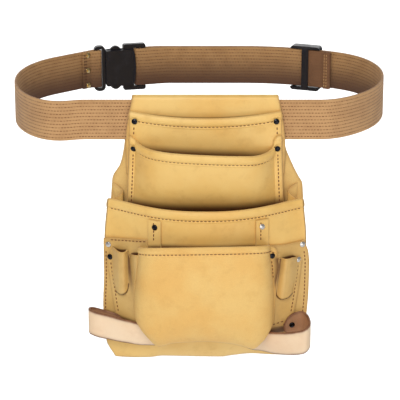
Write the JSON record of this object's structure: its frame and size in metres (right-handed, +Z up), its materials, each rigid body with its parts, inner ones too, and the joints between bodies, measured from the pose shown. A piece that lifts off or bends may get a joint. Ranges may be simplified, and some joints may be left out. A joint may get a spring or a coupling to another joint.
{
  "type": "tool belt with leather pouch",
  "caption": "Webbing waist belt with side-release buckle and slider, carrying a sliding leather pouch with stacked pockets, tool tubes and hammer loops.",
  "frame": {"origin": "middle of the waist opening at the belt's mid height", "axes": "+X to the right as the pouch is looked at, +Y from the pouch towards the buckle, +Z up"},
  "size_m": [0.464, 0.3513, 0.3355],
  "materials": {
    "leather_buff": "smooth buff grain leather, slightly waxy",
    "leather_suede": "softer, paler split leather",
    "leather_pale": "undyed pale leather",
    "webbing": "woven tan webbing with lengthwise stitched rows",
    "plastic_black": "moulded black plastic",
    "rivet_dark": "black nickel cap",
    "rivet_bright": "bright nickel cap",
    "rivet_brass": "aged brass cap"
  },
  "bodies": {
    "belt": {"belt_strap": "webbing", "buckle_socket": "plastic_black"},
    "left_arm": {"belt_strap_left": "webbing"},
    "left_end": {"belt_strap_end": "webbing", "buckle_plug": "plastic_black", "rivet_fold_low": "rivet_brass", "rivet_fold_mid": "rivet_brass", "rivet_fold_top": "rivet_brass"},
    "prong_upper": {"release_prong_upper": "plastic_black"},
    "prong_lower": {"release_prong_lower": "plastic_black"},
    "slider": {"strap_slider": "plastic_black"},
    "pouch": {"back_panel": "leather_buff", "centre_pouch": "leather_suede", "hammer_strap": "leather_pale", "main_gusset_left": "leather_buff", "main_gusset_right": "leather_buff", "main_pouch_front": "leather_buff", "middle_pocket": "leather_buff", "mouth_tab_left": "leather_buff", "mouth_tab_right": "leather_buff", "rivet_centre": "rivet_dark", "rivet_hammer_left": "rivet_dark", "rivet_hammer_right": "rivet_dark", "rivet_middle_left": "rivet_dark", "rivet_middle_right": "rivet_dark", "rivet_tab_left": "rivet_dark", "rivet_tab_right": "rivet_bright", "rivet_tool_left": "rivet_bright", "rivet_tool_right": "rivet_bright", "rivet_tube_left": "rivet_dark", "rivet_tube_right": "rivet_bright", "rivet_upper_left": "rivet_dark", "rivet_upper_right": "rivet_dark", "tool_panel_left": "leather_buff", "tool_panel_right": "leather_buff", "tool_tube_left_inner": "leather_buff", "tool_tube_left_outer": "leather_buff", "tool_tube_right": "leather_buff", "upper_pocket": "leather_buff"}
  },
  "joints": [
    {"name": "pouch_slide", "type": "slide", "parent": "belt", "child": "pouch", "axis": [1, 0, 0], "range_m": [-0.02, 0.02]},
    {"name": "belt_open", "type": "hinge", "parent": "belt", "child": "left_arm", "pos_m": [-0.13974, -0.1335, 0], "axis": [0, 0, 1], "range_deg": [0, 25], "deforming": ["release_prong_lower", "release_prong_upper"]},
    {"name": "belt_end_follow", "type": "hinge", "parent": "left_arm", "child": "left_end", "pos_m": [-0.18774, 0.0744, 0], "axis": [0, 0, 1], "range_deg": [-25, 0], "deforming": ["release_prong_lower", "release_prong_upper"]},
    {"name": "prong_upper_squeeze", "type": "hinge", "parent": "left_end", "child": "prong_upper", "pos_m": [-0.09992, 0.11991, 0.0102], "axis": [0.225, -0.9744, 0], "range_deg": [0, 9.5], "stiffness_Nm_per_rad": 1.2},
    {"name": "prong_lower_squeeze", "type": "hinge", "parent": "left_end", "child": "prong_lower", "pos_m": [-0.09992, 0.11991, -0.0102], "axis": [-0.225, 0.9744, 0], "range_deg": [0, 9.5], "stiffness_Nm_per_rad": 1.2},
    {"name": "slider_shift", "type": "hinge", "parent": "belt", "child": "slider", "pos_m": [0.0555, -0.1165, 0], "axis": [0, 0, 1], "range_deg": [0, 14]}
  ],
  "couplings": [
    {"joint": "belt_end_follow", "follows": "belt_open", "ratio": -1}
  ]
}
